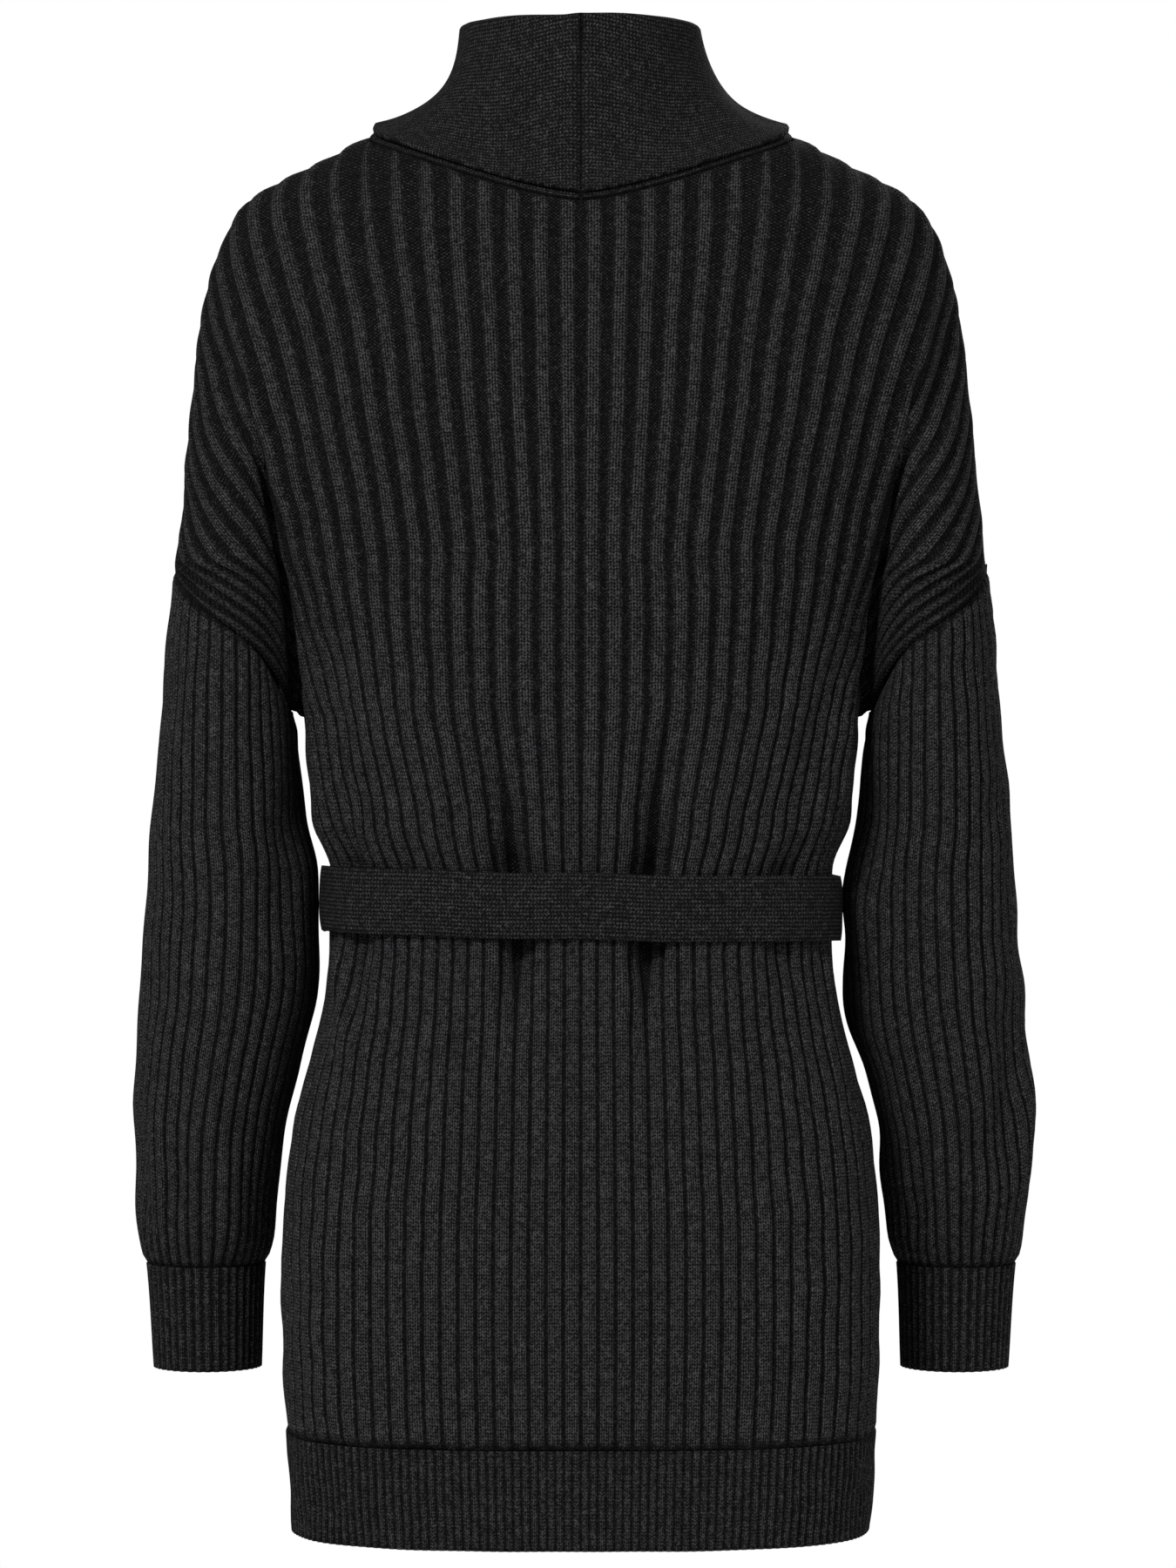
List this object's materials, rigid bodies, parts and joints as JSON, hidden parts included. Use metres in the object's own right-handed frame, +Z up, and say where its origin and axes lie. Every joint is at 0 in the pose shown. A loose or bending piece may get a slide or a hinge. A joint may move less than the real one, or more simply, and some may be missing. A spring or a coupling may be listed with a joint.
{
  "type": "wrap cardigan",
  "caption": "Hip-length ribbed knit wrap cardigan, worn form without a wearer: folded shawl collar, dropped shoulders, long sleeves, tied belt.",
  "frame": {"origin": "between the two ends of the shoulder seams at the base of the neck, where the garment rests on its wearer", "axes": "+Z up, the front faces -Y, the garment's left sleeve is at +X"},
  "size_m": [0.513, 0.2539, 0.8584],
  "materials": {
    "black_rib_knit": "matte ribbed wool-blend knit",
    "black_flat_knit": "matte flat wool-blend knit"
  },
  "bodies": {
    "root": {"back_panel": "black_rib_knit", "front_left": "black_rib_knit", "front_right": "black_rib_knit", "sleeve_left": "black_rib_knit", "sleeve_right": "black_rib_knit", "cuff_left": "black_rib_knit", "cuff_right": "black_rib_knit", "hem_back": "black_rib_knit", "hem_front_left": "black_rib_knit", "hem_front_right": "black_rib_knit", "collar_left": "black_flat_knit", "collar_right": "black_flat_knit", "belt": "black_flat_knit", "belt_knot": "black_flat_knit", "belt_end_left": "black_flat_knit", "belt_end_right": "black_flat_knit"}
  },
  "joints": []
}
